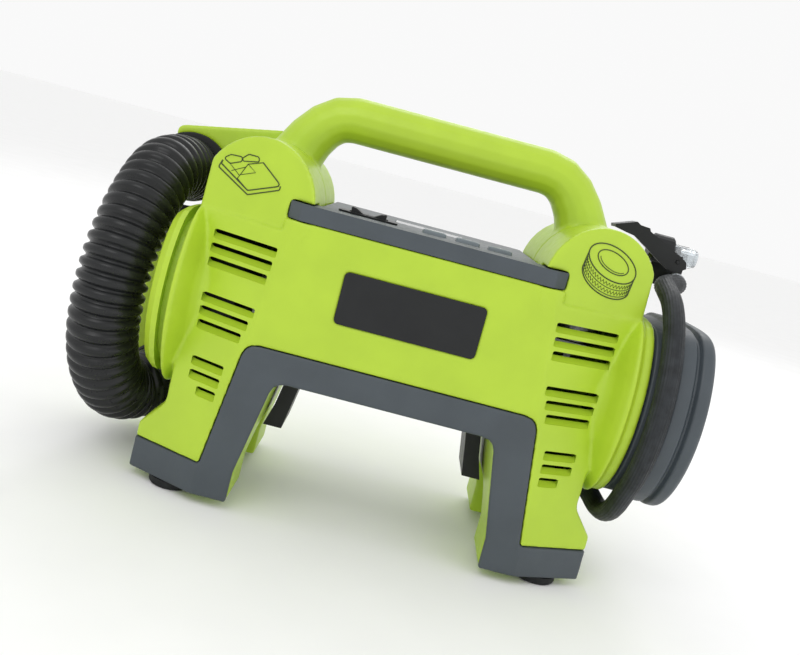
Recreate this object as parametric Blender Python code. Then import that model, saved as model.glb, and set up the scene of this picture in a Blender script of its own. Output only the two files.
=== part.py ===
"""Cordless two-way air pump: a high-volume blower for air beds and a piston compressor for tyres.

Run with: blender --background --python part.py

The pump stands on four rubber feet. X runs to the right as seen from the front, Y runs to the
back and Z runs up. Every size below is in millimetres and is scaled to metres when a mesh is made.
"""
import math

import bmesh
import bpy
from mathutils import Matrix, Vector

MM = 0.001
GAP = 0.3            # clearance between pieces that touch
WALL = 3.0           # wall of the moulded shells

# Body: a trapezoid front between two angled vent panels, standing on four legs.
Y_FRONT, Y_MID, Y_BACK = -55.0, 7.0, 69.0
Z_LEG, Z_TOP = 5.0, 160.0
CREASE_LOW, CREASE_TOP = 90.0, 68.7      # half width of the flat front at the leg and at the top
SIDE = 129.0                             # half width where the angled panels stop
PANEL_LOW, PANEL_TOP = 18.5, 28.6        # how far the angled panels run back at SIDE
ARCH_Z = 75.5                            # underside of the bridge between the legs
FOOT_FRONT, FOOT_REAR = 128.0, 116.5     # half width of the front feet, which flare, and of the rear
SPLIT_Y = 0.0                            # parting plane of the two shells

# Air slots in the angled panels: inner end, outer end and top slot's height of each group of three.
VENT_GROUPS = ((73.5, 110.5, 142.0), (77.0, 109.0, 108.5), (87.0, 106.5, 75.0))
VENT_PITCH, VENT_HEIGHT = 7.4, 2.4
VENT_LEAN = 0.137                        # how far the inner ends move out per millimetre down

# Name plate.
BADGE_X, BADGE_Z0, BADGE_Z1 = 37.5, 114.0, 141.5

# Shoulders and handle.
SHOULDER_X, SHOULDER_Z, SHOULDER_R = 93.0, 163.5, 33.0
SHOULDER_Y0, SHOULDER_Y1 = -40.3, 54.0
DISC_RISE, DISC_RUN = 0.15, 0.45         # how far a front disc recedes per millimetre up and outward
LEDGE_Z, LEDGE_X = 153.0, 74.0           # top and inner end of the raised vent panels
HANDLE_Y, HANDLE_Z, HANDLE_R = 15.0, 218.0, 13.0

# Drums: blower on the left, hose reel on the right, on one axis along X.
DRUM_Z = 106.0
DRUM_LEFT = [(104, 47), (110, 48.5), (113.5, 52), (117, 58.5), (120, 63), (121.5, 63.4), (122.5, 62)]
DRUM_RIGHT = [(104, 47), (110, 48.5), (113.5, 52), (117, 58.5), (120, 63), (121.8, 64),
              (123.2, 61.6), (124.4, 61.0), (125.4, 62), (129, 61.8)]
HOLLOW_LEFT = [(100, 40), (110, 42), (115, 43), (119.5, 45)]
HOLLOW_RIGHT = [(100, 40), (110, 42), (115, 48), (119.5, 55), (126, 57)]
FLAT_TOP, FLAT_LOW = 13.5, 7.0           # how much each round is cut down above and below
SOFT = 14                                # sharpness of the corners between round and flat
DRUM_END = 122.5
CAP_X0, CAP_X1, CAP_R = 127.0, 135.0, 58.5
REEL_X0, REEL_X1, REEL_R = 129.3, 163.0, 60.0

# Deck with the controls, between the shoulders.
DECK_Z = 169.0
DECK_HALF_FRONT, DECK_HALF_BAR, DECK_HALF = 66.5, 73.5, 58.5
CONTROL_Y = -24.0
ROCKER_X, ROCKER_W, ROCKER_D = -34.5, 19.5, 10.0
ROCKER_PIVOT_Z = 165.5
BUTTON_X = (2.0, 20.5, 38.5)
BUTTON_W, BUTTON_D, BUTTON_TOP = 13.0, 8.0, 171.0
BOARD_Z0, BOARD_Z1 = 150.5, 152.1        # control board under the deck
WINDOW_X, WINDOW_Y0, WINDOW_Y1 = 20.0, 1.0, 23.0

# Battery dock under the bridge.
DOCK_X, DOCK_Y0, DOCK_Y1 = 52.5, -33.0, 47.0
STEM_X, STEM_Y0, STEM_Y1, STEM_TOP = 25.0, -13.0, 27.0, 118.0

# Wing that holds the air hose on the left.
WING_Y0, WING_Y1, WING_X = 46.0, 50.0, -163.0
WING_HOLE = (-150.0, 163.0, 24.0)
PORT = (-142.0, 35.0)
AIR_HOSE_R = 19.5
PRESSURE_HOSE_R = 5.8

# Crank train of the compressor.
CRANK_X, CRANK_Y, CRANK_R, CRANK_PIN_R = 84.0, -8.0, 19.0, 6.0
PINION_R, PINION_Y = 6.0, CRANK_Y + 26.5
PISTON_X = 92.0

# Routes of the two hoses, each through the middle of the hose.
AIR_ROUTE = [
    (-142, 41.2, 35), (-142, 33, 35), (-142.4, 26, 34.6), (-146, 19, 33.2), (-151, 10, 32.8),
    (-154.5, -1, 36.5), (-157, -12, 45.5), (-159, -21, 58.5), (-160, -27.5, 76), (-160, -29, 96),
    (-159.3, -26, 117), (-158, -18, 136), (-156.5, -6, 151.5), (-155.3, 9, 162),
    (-153.4, 25, 165.5), (-152, 40, 165.5), (-152, 48, 165.5), (-152, 56, 165.5),
]
TURN_R = REEL_R + PRESSURE_HOSE_R + 0.8
TURN_X = 136.7
GLAND = (122.5, 8.0, 50.5)
GLAND_DIR = (0.76, -0.42, -0.50)
DROOP = [(124.48, 6.91, 49.2), (127.8, 5.1, 47.0), (131.6, 3.0, 43.6), (135.6, -4, 39.6),
         (137.6, -13, 40.2), (137.9, -23, 44.6), (137.2, -32.5, 51.0)]
LIFT = [(137.6, 4.5, 173.1), (142.5, 12, 174.4), (148.0, 19, 174.5), (150.2, 24.5, 174.3),
        (150.9, 29.5, 174.6)]
CHUCK_Y, CHUCK_Z, CHUCK_R = 38.0, 192.3, 8.6
LEVER_PIVOT = (147.5, 187.5)
LEVER_Y0, LEVER_Y1 = 26.8, 29.3
BODY_X0, BODY_X1 = 131.0, 145.0          # ends of the chuck body
SLEEVE_X1, SLEEVE_R = 160.5, 6.1
BORE_X, BORE_R = 150.0, 3.4              # where the valve socket ends, and its radius

CORD_SIDES = 2       # bevel resolution of the hoses, which gives 8 sides

# Moulded and metal finishes: linear colour, roughness, metallic.
GREEN = ("lime_plastic", (0.43, 0.60, 0.045), 0.45, 0.0)
GREY = ("slate_plastic", (0.065, 0.080, 0.094), 0.5, 0.0)
BLACK = ("black_plastic", (0.018, 0.019, 0.020), 0.5, 0.0)
SOFT_GREY = ("button_grey", (0.19, 0.22, 0.24), 0.55, 0.0)
RUBBER = ("black_rubber", (0.015, 0.016, 0.018), 0.75, 0.0)
STEEL = ("steel", (0.55, 0.56, 0.58), 0.35, 1.0)
ALLOY = ("cast_alloy", (0.42, 0.43, 0.45), 0.5, 1.0)
BRASS = ("brass", (0.65, 0.48, 0.2), 0.35, 1.0)
CLEAR = ("clear_plastic", (0.7, 0.75, 0.8), 0.15, 0.0)
BOARD = ("board_green", (0.02, 0.12, 0.05), 0.6, 0.0)
NYLON = ("nylon", (0.75, 0.74, 0.7), 0.5, 0.0)


# ---------------------------------------------------------------- helpers

def clear_scene():
    """Empty the file."""
    for obj in list(bpy.data.objects):
        bpy.data.objects.remove(obj)


def material(finish):
    """A Principled material from a finish."""
    name, colour, roughness, metallic = finish
    mat = bpy.data.materials.get(name)
    if mat:
        return mat
    mat = bpy.data.materials.new(name)
    mat.use_nodes = True
    shader = mat.node_tree.nodes["Principled BSDF"]
    shader.inputs["Base Color"].default_value = (*colour, 1.0)
    shader.inputs["Roughness"].default_value = roughness
    shader.inputs["Metallic"].default_value = metallic
    return mat


def link(mesh, name="solid"):
    """A mesh as a linked object."""
    obj = bpy.data.objects.new(name, mesh)
    bpy.context.collection.objects.link(obj)
    return obj


def from_bmesh(bm, name="solid"):
    """A closed mesh object from a bmesh in millimetres, faces turned out."""
    bmesh.ops.remove_doubles(bm, verts=bm.verts, dist=0.001)
    bmesh.ops.recalc_face_normals(bm, faces=bm.faces)
    bmesh.ops.scale(bm, vec=(MM, MM, MM), verts=bm.verts)
    mesh = bpy.data.meshes.new(name)
    bm.to_mesh(mesh)
    bm.free()
    return link(mesh, name)


def loft(rings):
    """A solid through closed rings with equal point counts, capped at both ends."""
    bm = bmesh.new()
    rows = [[bm.verts.new(p) for p in ring] for ring in rings]
    count = len(rows[0])
    for low, high in zip(rows, rows[1:]):
        for i in range(count):
            j = (i + 1) % count
            bm.faces.new((low[i], low[j], high[j], high[i]))
    bm.faces.new(rows[0])
    bm.faces.new(rows[-1])
    return from_bmesh(bm)


def round_corners(points, steps=3):
    """An outline from (a, b, radius) corners, each rounded by its radius."""
    out = []
    count = len(points)
    for i, (a, b, radius) in enumerate(points):
        here = Vector((a, b))
        before = Vector(points[i - 1][:2]) - here
        after = Vector(points[(i + 1) % count][:2]) - here
        if radius <= 0:
            out.append(tuple(here))
            continue
        half = before.angle(after) / 2
        reach = min(radius / math.tan(half), 0.48 * before.length, 0.48 * after.length)
        start = here + before.normalized() * reach
        end = here + after.normalized() * reach
        for k in range(steps + 1):
            t = k / steps
            p = start * (1 - t) ** 2 + here * 2 * t * (1 - t) + end * t * t
            out.append(tuple(p))
    return out


def inset(points, distance):
    """An outline moved inward by a distance (points run counter-clockwise)."""
    out = []
    count = len(points)
    for i in range(count):
        p, q, r = (Vector(points[k % count][:2]) for k in (i - 1, i, i + 1))
        u, v = (q - p).normalized(), (r - q).normalized()
        n1, n2 = Vector((-u.y, u.x)), Vector((-v.y, v.x))
        shift = (n1 + n2) * (distance / (1 + n1.dot(n2)))
        out.append((q.x + shift.x, q.y + shift.y, *points[i][2:]))
    return out


def prism(outline, axis, low, high):
    """An outline extruded along an axis; the outline gives the other two axes in order."""
    def place(a, b, level):
        return {"x": (level, a, b), "y": (a, level, b), "z": (a, b, level)}[axis]
    return loft([[place(a, b, level) for a, b in outline] for level in (low, high)])


def box(x0, x1, y0, y1, z0, z1):
    """A block between two corners."""
    return prism([(x0, y0), (x1, y0), (x1, y1), (x0, y1)], "z", z0, z1)


def soft_box(x0, x1, y0, y1, z0, z1, radius=1.5, axis="z"):
    """A block whose four edges along an axis are rounded."""
    spans = {"z": ((x0, x1), (y0, y1), z0, z1), "y": ((x0, x1), (z0, z1), y0, y1),
             "x": ((y0, y1), (z0, z1), x0, x1)}
    (a0, a1), (b0, b1), low, high = spans[axis]
    corners = [(a0, b0, radius), (a1, b0, radius), (a1, b1, radius), (a0, b1, radius)]
    return prism(round_corners(corners), axis, low, high)


def lathe(profile, axis="x", centre=(0, 0), sides=40):
    """A solid turned about an axis from (position, radius) pairs; centre is on the other two axes."""
    rings = []
    for level, radius in profile:
        ring = []
        for k in range(sides):
            turn = 2 * math.pi * (k + 0.5) / sides
            a = centre[0] + radius * math.cos(turn)
            b = centre[1] + radius * math.sin(turn)
            ring.append({"x": (level, a, b), "y": (a, level, b), "z": (a, b, level)}[axis])
        rings.append(ring)
    return loft(rings)


def along(start, direction, profile, sides=16):
    """A turned solid whose axis leaves a point in a direction."""
    solid = lathe(profile, "z", (0, 0), sides)
    turn = Vector(direction).to_track_quat("Z", "Y").to_matrix().to_4x4()
    solid.data.transform(Matrix.Translation(Vector(start) * MM) @ turn)
    return solid


def hollow_lathe(profile, axis="x", centre=(0, 0), sides=40):
    """A ring turned about an axis from a closed loop of (position, radius) pairs."""
    bm = bmesh.new()
    rings = []
    for level, radius in profile:
        ring = []
        for k in range(sides):
            turn = 2 * math.pi * (k + 0.5) / sides
            a = centre[0] + radius * math.cos(turn)
            b = centre[1] + radius * math.sin(turn)
            place = {"x": (level, a, b), "y": (a, level, b), "z": (a, b, level)}[axis]
            ring.append(bm.verts.new(place))
        rings.append(ring)
    for low, high in zip(rings, rings[1:] + rings[:1]):
        for i in range(sides):
            j = (i + 1) % sides
            bm.faces.new((low[i], low[j], high[j], high[i]))
    return from_bmesh(bm)


def sweep(points, radii, sides=16):
    """A round tube through points in the XZ plane at one depth, with a radius at each point."""
    rings = []
    for i, p in enumerate(points):
        before, after = points[max(i - 1, 0)], points[min(i + 1, len(points) - 1)]
        along = (Vector(after) - Vector(before)).normalized()
        side = Vector((0, 1, 0))
        up = along.cross(side)
        ring = []
        for k in range(sides):
            turn = 2 * math.pi * (k + 0.5) / sides
            ring.append(Vector(p) + radii[i] * (math.cos(turn) * side + math.sin(turn) * up))
        rings.append(ring)
    return loft(rings)


def smooth_route(route, spacing):
    """Points at an even spacing on a smooth curve through a route."""
    pts = [Vector(p) for p in route]
    fine = []
    steps = 24
    for i in range(len(pts) - 1):
        p0, p1, p2, p3 = pts[max(i - 1, 0)], pts[i], pts[i + 1], pts[min(i + 2, len(pts) - 1)]
        for k in range(steps):
            t = k / steps
            fine.append(0.5 * (2 * p1 + (p2 - p0) * t + (2 * p0 - 5 * p1 + 4 * p2 - p3) * t * t
                               + (3 * p1 - p0 - 3 * p2 + p3) * t ** 3))
    fine.append(pts[-1])
    lengths = [0.0]
    for a, b in zip(fine, fine[1:]):
        lengths.append(lengths[-1] + (b - a).length)
    count = max(2, round(lengths[-1] / spacing) + 1)
    out, j = [], 0
    for k in range(count):
        want = lengths[-1] * k / (count - 1)
        while j < len(fine) - 2 and lengths[j + 1] < want:
            j += 1
        span = lengths[j + 1] - lengths[j]
        out.append(fine[j].lerp(fine[j + 1], (want - lengths[j]) / span if span else 0.0))
    return out


def combine(base, tools, operation):
    """The base after a boolean with each tool; the tools are used up."""
    for tool in tools:
        modifier = base.modifiers.new("cut", "BOOLEAN")
        modifier.operation = operation
        modifier.solver = "EXACT"
        modifier.object = tool
        bpy.context.view_layer.update()
        shaped = base.evaluated_get(bpy.context.evaluated_depsgraph_get())
        mesh = bpy.data.meshes.new_from_object(shaped)
        base.modifiers.clear()
        base.data = mesh
        bpy.data.objects.remove(tool)
    return base


def cut(base, *tools):
    """The base less each tool."""
    return combine(base, tools, "DIFFERENCE")


def join(base, *tools):
    """The base united with each tool."""
    return combine(base, tools, "UNION")


def common(base, *tools):
    """What the base shares with each tool."""
    return combine(base, tools, "INTERSECT")


def node(obj, name, finish, origin=None, smooth_angle=35.0):
    """Name a finished solid, give it its material and put its origin at a point."""
    obj.name = name
    obj.data.name = name
    obj.data.materials.clear()
    obj.data.materials.append(material(finish))
    if origin is None:
        corners = [Vector(c) for c in obj.bound_box]
        at = sum(corners, Vector()) / 8
    else:
        at = Vector(origin) * MM
    obj.data.transform(Matrix.Translation(-at))
    obj.location = at
    obj.data.shade_smooth()
    obj.data.set_sharp_from_angle(angle=math.radians(smooth_angle))
    obj.parent = bpy.data.objects["pump"]
    return obj


# ---------------------------------------------------------------- body outlines

def mirrored(half):
    """A full counter-clockwise outline from its right half, listed from the bottom up."""
    return half + [(-a, *rest) for a, *rest in reversed(half)]


def front_outline(foot):
    """The body seen from the front: arch, legs out to the foot's half width, and the flanks."""
    half = [(59.5, ARCH_Z, 8), (69.6, 22.0, 6), (69.8, Z_LEG, 0), (foot, Z_LEG, 0),
            (foot, 30.0, 0), (115.0, 46.0, 10), (118.5, Z_TOP, 0)]
    return mirrored(half)


def body_prism(margin, foot=FOOT_FRONT):
    """The front outline taken through the depth, drawn in by a margin."""
    outline = inset(front_outline(foot), margin) if margin else front_outline(foot)
    return prism(round_corners(outline), "y", -80.0, 90.0)


def plan_prism(margin, shift=0.0):
    """The plan of the body: flat front and back, and panels angled back at each side."""
    rings = []
    for z, crease, run in ((Z_LEG - 3, CREASE_LOW, PANEL_LOW), (Z_TOP + 3, CREASE_TOP, PANEL_TOP)):
        half = [(crease, Y_FRONT), (SIDE, Y_FRONT + run), (SIDE, Y_BACK - run), (crease, Y_BACK)]
        plan = inset(mirrored(half), margin) if margin else mirrored(half)
        rings.append([(point[0], point[1] + shift, z) for point in plan])
    return loft(rings)


def disc_y(x, z):
    """Depth of the front disc's plane at a half width and a height."""
    return SHOULDER_Y0 + DISC_RISE * (z - SHOULDER_Z) + DISC_RUN * (x - SHOULDER_X)


def above_ledge(side, shrink=0.0):
    """What is cut away in front of the disc's plane over a raised vent panel."""
    rings = []
    for z in (LEDGE_Z - shrink, Z_TOP + 20):
        inner, outer = (LEDGE_X, disc_y(LEDGE_X, z) + shrink), (SIDE + 20, disc_y(SIDE + 20, z) + shrink)
        rings.append([(side * x, y, z) for x, y in ((LEDGE_X, -90), (SIDE + 20, -90), outer, inner)])
    return loft(rings)


def drum_section(radius, count):
    """Points round a drum: round in front and behind, flat above and below, with soft corners."""
    ring = []
    for k in range(count):
        turn = 2 * math.pi * (k + 0.5) / count
        across, up = math.cos(turn), math.sin(turn)
        flat = (radius - (FLAT_TOP if up > 0 else FLAT_LOW)) / max(abs(up), 0.01)
        reach = (radius ** -SOFT + flat ** -SOFT) ** (-1 / SOFT)
        ring.append((Y_MID + reach * across, DRUM_Z + reach * up))
    return ring


def flat_drum(profile, count=48):
    """A solid along X through drum sections, from (x, radius) pairs."""
    return loft([[(x, y, z) for y, z in drum_section(radius, count)] for x, radius in profile])


def shoulder(side, shrink=0.0):
    """One round shoulder, its front disc tilted up and outward."""
    rings = []
    for front in (True, False):
        ring = []
        for k in range(36):
            turn = 2 * math.pi * (k + 0.5) / 36
            x = SHOULDER_X + (SHOULDER_R - shrink) * math.cos(turn)
            z = SHOULDER_Z + (SHOULDER_R - shrink) * math.sin(turn)
            ring.append((side * x, disc_y(x, z) + shrink if front else SHOULDER_Y1 - shrink, z))
        rings.append(ring)
    flat = DRUM_END - shrink
    return common(loft(rings), box(-flat, flat, -60, 80, 100, 220))


def drum(side, inner=False):
    """The round end of the body on one side, or the hollow inside it."""
    outer_profile, inner_profile = (DRUM_RIGHT, HOLLOW_RIGHT) if side > 0 else (DRUM_LEFT, HOLLOW_LEFT)
    profile = [(side * x, r) for x, r in (inner_profile if inner else outer_profile)]
    if inner and side < 0:
        return lathe(profile, "x", (Y_MID, DRUM_Z), 48)
    return flat_drum(profile)


def leg_gap(margin=0.0):
    """The opening between the front and the rear legs, seen from the side."""
    low, high, top = -15 - margin, 29 + margin, 40 + margin
    outline = [(low, -5, 0), (high, -5, 0), (high, top, 8), (low, top, 8)]
    return prism(round_corners(outline), "x", -140, 140)


def bezel_outline(margin=0.0):
    """The grey trim seen from the front: bridge, leg faces and foot bands."""
    half = [(59.5, ARCH_Z - 2, 8), (69.6, 20.0, 6), (69.8, Z_LEG - 2, 0), (132.0, Z_LEG - 2, 0),
            (132.0, 22.0, 0), (88.0, 22.3, 2), (78.2, 92.0, 8)]
    outline = mirrored(half)
    if margin:
        outline = inset(outline, -margin)
    return round_corners(outline)


# ---------------------------------------------------------------- shells

def body_solid(foot):
    """The whole outer body, before it is hollowed and parted."""
    body = common(body_prism(0.0, foot), plan_prism(0.0))
    body = cut(body, above_ledge(1), above_ledge(-1))
    body = join(body, shoulder(1), shoulder(-1), drum(1), drum(-1))
    return cut(body, leg_gap())


def cavity(foot):
    """The hollow inside both shells."""
    hollow = common(body_prism(WALL, foot), plan_prism(WALL))
    hollow = cut(hollow, above_ledge(1, WALL), above_ledge(-1, WALL))
    hollow = join(hollow, shoulder(1, WALL), shoulder(-1, WALL), drum(1, True), drum(-1, True))
    return cut(hollow, leg_gap(WALL))


def shared_openings():
    """Openings that cross the parting plane."""
    stem = box(-STEM_X - 3.5, STEM_X + 3.5, STEM_Y0 - 3.5, STEM_Y1 + 3.5, 60, 90)
    deck = box(-52, 52, -44, 50, 150, 175)
    inlet = lathe([(-140, 40), (-100, 40)], "x", (Y_MID, DRUM_Z), 32)
    reel = lathe([(100, 30), (140, 30)], "x", (Y_MID, DRUM_Z), 32)
    return stem, deck, inlet, reel


def vent_slots(side):
    """Three groups of three air slots through one angled front panel."""
    slots = []
    for x0, x1, top in VENT_GROUPS:
        for k in range(3):
            z = top - VENT_PITCH * k
            lean = (VENT_GROUPS[0][2] - z) * VENT_LEAN
            left, right = sorted((side * max(x0, VENT_GROUPS[0][0] + lean), side * x1))
            slots.append(box(left, right, -60, -20, z - VENT_HEIGHT, z))
    return slots


def bezel_zone(margin=0.0):
    """The space that the trim fills: its outline, down to just behind the front surface."""
    zone = prism(bezel_outline(margin), "y", -80, -20)
    return cut(zone, plan_prism(0.0, 4.0 + margin))


def front_shell():
    """The front half: flat panel, vent panels, shoulder discs and front legs."""
    body = common(body_solid(FOOT_FRONT), box(-200, 200, -100, SPLIT_Y - GAP / 2, -10, 260))
    body = cut(body, cavity(FOOT_FRONT), *shared_openings(), bezel_zone(GAP))
    body = cut(body, badge_solid(GAP), *vent_slots(1), *vent_slots(-1))
    for side in (-1, 1):
        body = cut(body, box(*sorted((side * 60, side * (DECK_HALF_BAR + GAP))), -60,
                             -33.5, Z_TOP - GAP, DECK_Z + GAP))
    return node(body, "front_shell", GREEN, (0, Y_FRONT, DRUM_Z))


def handle_solid():
    """The tubular handle, from deep inside one shoulder to the other."""
    half = [(88, 181, 15.5), (84, 192, 15.0), (79, 202, 14.0), (72.5, 210.5, 13.3),
            (65, 216, HANDLE_R), (56, HANDLE_Z, HANDLE_R), (30, HANDLE_Z, HANDLE_R)]
    path = [(-x, HANDLE_Y, z) for x, z, _ in half] + [(x, HANDLE_Y, z) for x, z, _ in reversed(half)]
    radii = [r for _, _, r in half] + [r for _, _, r in reversed(half)]
    return sweep(path, radii, 16)


def wing_solid():
    """The flat wing behind the air hose, with the hole that stows the nozzle."""
    outline = [(-100, 18, 0), (-100, 202.5, 0), (WING_X, 190, 5), (WING_X, 18, 5)]
    plate = prism(round_corners(outline[::-1]), "y", WING_Y0, WING_Y1)
    x, z, r = WING_HOLE
    return cut(plate, lathe([(WING_Y0 - 5, r), (WING_Y1 + 5, r)], "y", (x, z), 32))


def duct_solid():
    """The outlet duct behind the wing, from the blower drum to the port."""
    outline = [(-163, 18, 5), (-92, 18, 0), (-92, 64, 0), (-150, 58, 8), (-163, 50, 6)]
    return prism(round_corners(outline), "y", WING_Y0, 66)


def rear_shell():
    """The rear half, with the handle, the wing and the outlet duct."""
    body = common(join(body_solid(FOOT_REAR), handle_solid(), wing_solid(), duct_solid()),
                  box(-200, 200, SPLIT_Y + GAP / 2, 100, -10, 260))
    x, z = PORT
    bore = lathe([(WING_Y0 - 5, 15.5), (60, 15.5)], "y", (x, z), 24)
    way = box(-141, -104, 50.5, 60, 26, 46)
    cap_room = lathe([(-139, CAP_R + 1.5), (-DRUM_END, CAP_R + 1.5)], "x", (Y_MID, DRUM_Z), 48)
    body = cut(body, cavity(FOOT_REAR), *shared_openings(), bore, way, cap_room)
    for x, z, y in screw_places():
        body = cut(body, lathe([(y - 4, 4.2), (y + 9, 4.2)], "y", (x, z), 12),
                   lathe([(y - 14, 2.0), (y - 3, 2.0)], "y", (x, z), 12))
    body = cut(body, along(GLAND, GLAND_DIR, [(-13, 7.4), (12, 7.4)]))
    return node(body, "rear_shell", GREEN, (0, Y_BACK, DRUM_Z))


def screw_places():
    """Screws that hold the two shells: x, z and the depth of the surface there."""
    return [(-58, 147, Y_BACK), (58, 147, Y_BACK), (-66, 88, Y_BACK), (66, 88, Y_BACK),
            (-SHOULDER_X, SHOULDER_Z + 8, SHOULDER_Y1), (SHOULDER_X, SHOULDER_Z + 8, SHOULDER_Y1)]


def screws():
    """The six housing screws."""
    for i, (x, z, y) in enumerate(screw_places()):
        head, tip = y - 1.5, y - 12.5
        profile = [(tip, 0.6), (tip + 1.5, 1.6), (head - 2.2, 1.6), (head - 2.2, 3.6),
                   (head - 0.7, 3.6), (head, 2.8)]
        node(lathe(profile, "y", (x, z), 12), f"housing_screw_{i + 1}", STEEL, (x, head, z))


def front_bezel():
    """The grey trim over the bridge, the leg faces and the feet."""
    trim = common(bezel_zone(), body_prism(0.0), plan_prism(0.0))
    return node(trim, "front_bezel", GREY, (0, Y_FRONT, ARCH_Z))


def badge_solid(margin=0.0):
    """The name plate, a thin rounded rectangle let into the front."""
    m = margin
    return soft_box(-BADGE_X - m, BADGE_X + m, Y_FRONT - 0.4 - 5 * m, Y_FRONT + 1.2 + m,
                    BADGE_Z0 - m, BADGE_Z1 + m, 2.5, "y")


# ---------------------------------------------------------------- deck and controls

def deck_outline(m=0.0):
    """Plan of the deck: a bar in front of the shoulders and a tongue between them."""
    half = [(DECK_HALF_FRONT - m, Y_FRONT + m, 2), (DECK_HALF_BAR - m, -48 + m, 1),
            (DECK_HALF_BAR - m, -34 - m, 1),
            (DECK_HALF - m, -34 - m, 0), (DECK_HALF - m, 55 - m, 3)]
    return round_corners(mirrored(half), 2)


def deck_panel():
    """The grey deck, with wells for the rocker, the buttons and the display."""
    deck = prism(deck_outline(), "z", Z_TOP + GAP, DECK_Z)
    deck = cut(deck, prism(deck_outline(2.5), "z", Z_TOP - 5, DECK_Z - 2.6))
    deck = cut(deck, box(ROCKER_X - 12.3, ROCKER_X + 12.3, CONTROL_Y - 6.3, CONTROL_Y + 6.3, 155, 175))
    for x in BUTTON_X:
        half_w, half_d = BUTTON_W / 2 + GAP, BUTTON_D / 2 + GAP
        deck = cut(deck, soft_box(x - half_w, x + half_w, CONTROL_Y - half_d, CONTROL_Y + half_d,
                                  155, 175, 1.2))
    deck = cut(deck, box(-WINDOW_X - GAP, WINDOW_X + GAP, WINDOW_Y0 - GAP, WINDOW_Y1 + GAP, 155, 175))
    return node(deck, "deck_panel", GREY, (0, Y_FRONT, Z_TOP))


def rocker():
    """The saddle-shaped rocker and the thin frame that holds it."""
    x, y, z = ROCKER_X, CONTROL_Y, DECK_Z
    frame = soft_box(x - 16, x + 16, y - 8, y + 8, z + GAP, z + 1.0, 1.5)
    frame = join(frame, box(x - 12, x + 12, y - 6, y + 6, z - 8, z + 0.8))
    frame = cut(frame, box(x - 10.6, x + 10.6, y - 5.3, y + 5.3, 150, 180))
    node(frame, "rocker_frame", BLACK, (x, y, z))
    half = ROCKER_W / 2
    saddle = [(-half, 172.9), (-half + 3, 172.3), (-3, 170.3), (3, 170.3), (half - 3, 172.3),
              (half, 172.9), (half - 1, 164), (4, 161.5), (-4, 161.5), (-half + 1, 164)]
    body = prism([(x + a, b) for a, b in saddle[::-1]], "y", y - ROCKER_D / 2, y + ROCKER_D / 2)
    node(body, "rocker_switch", BLACK, (x, y, ROCKER_PIVOT_Z))


def buttons():
    """Three push buttons, each with a stem that reaches its switch."""
    for x, name in zip(BUTTON_X, ("button_power", "button_minus", "button_plus")):
        cap = soft_box(x - BUTTON_W / 2, x + BUTTON_W / 2, CONTROL_Y - BUTTON_D / 2,
                       CONTROL_Y + BUTTON_D / 2, 164.5, BUTTON_TOP, 1.2)
        cap = join(cap, box(x - BUTTON_W / 2 - 1.5, x + BUTTON_W / 2 + 1.5,
                            CONTROL_Y - 3, CONTROL_Y + 3, 163.5, 165.5))
        cap = join(cap, box(x - 2, x + 2, CONTROL_Y - 2, CONTROL_Y + 2, 157.5, 164))
        node(cap, name, SOFT_GREY, (x, CONTROL_Y, BUTTON_TOP))


def electronics():
    """The control board, its three tact switches, the display and its window."""
    board = soft_box(-50, 50, -42, 38, BOARD_Z0, BOARD_Z1, 2.0)
    node(board, "control_board", BOARD)
    seat = BOARD_Z1 + GAP
    for i, x in enumerate(BUTTON_X):
        tact = join(box(x - 3, x + 3, CONTROL_Y - 3, CONTROL_Y + 3, seat, seat + 2.2),
                    lathe([(seat + 1.6, 1.6), (seat + 3.4, 1.6)], "z", (x, CONTROL_Y), 12))
        node(tact, f"tact_switch_{i + 1}", BLACK)
    node(box(-17, 17, 3, 21, seat, 165.6), "display_module", BLACK)
    window = soft_box(-WINDOW_X, WINDOW_X, WINDOW_Y0, WINDOW_Y1, 166.0, DECK_Z, 1.0)
    node(window, "display_window", CLEAR)


# ---------------------------------------------------------------- battery dock

def battery_dock():
    """The socket for the battery stem, with a flared latch skirt at each end."""
    plate = soft_box(-DOCK_X, DOCK_X, DOCK_Y0, DOCK_Y1, 70.0, ARCH_Z - GAP, 4.0)
    tower = box(-STEM_X - 3, STEM_X + 3, STEM_Y0 - 3, STEM_Y1 + 3, 70, STEM_TOP + 3)
    dock = join(plate, tower)
    for side in (-1, 1):
        outline = [(48, 73), (53.8, 38.5), (64.5, 38.5), (60.5, 52), (58, 66), (55, 69.5), (51, 73)]
        skirt = prism([(side * a, b) for a, b in outline], "y", -10, 24)
        dock = join(dock, skirt)
    dock = cut(dock, box(-STEM_X, STEM_X, STEM_Y0, STEM_Y1, 60, STEM_TOP))
    node(dock, "battery_dock", BLACK, (0, Y_MID, 68))
    block = box(-11, 11, -4, 18, STEM_TOP - 20, STEM_TOP - GAP)
    for side in (-1, 1):
        block = cut(block, box(side * 5 - 0.8, side * 5 + 0.8, 0.2, 13.8, STEM_TOP - 30, STEM_TOP - 4))
    node(block, "terminal_block", NYLON, (0, Y_MID, STEM_TOP))
    for side, name in ((-1, "terminal_blade_left"), (1, "terminal_blade_right")):
        blade = box(side * 5 - 0.5, side * 5 + 0.5, 0.5, 13.5, STEM_TOP - 32, STEM_TOP - 4.3)
        node(blade, name, BRASS)


# ---------------------------------------------------------------- blower

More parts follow.
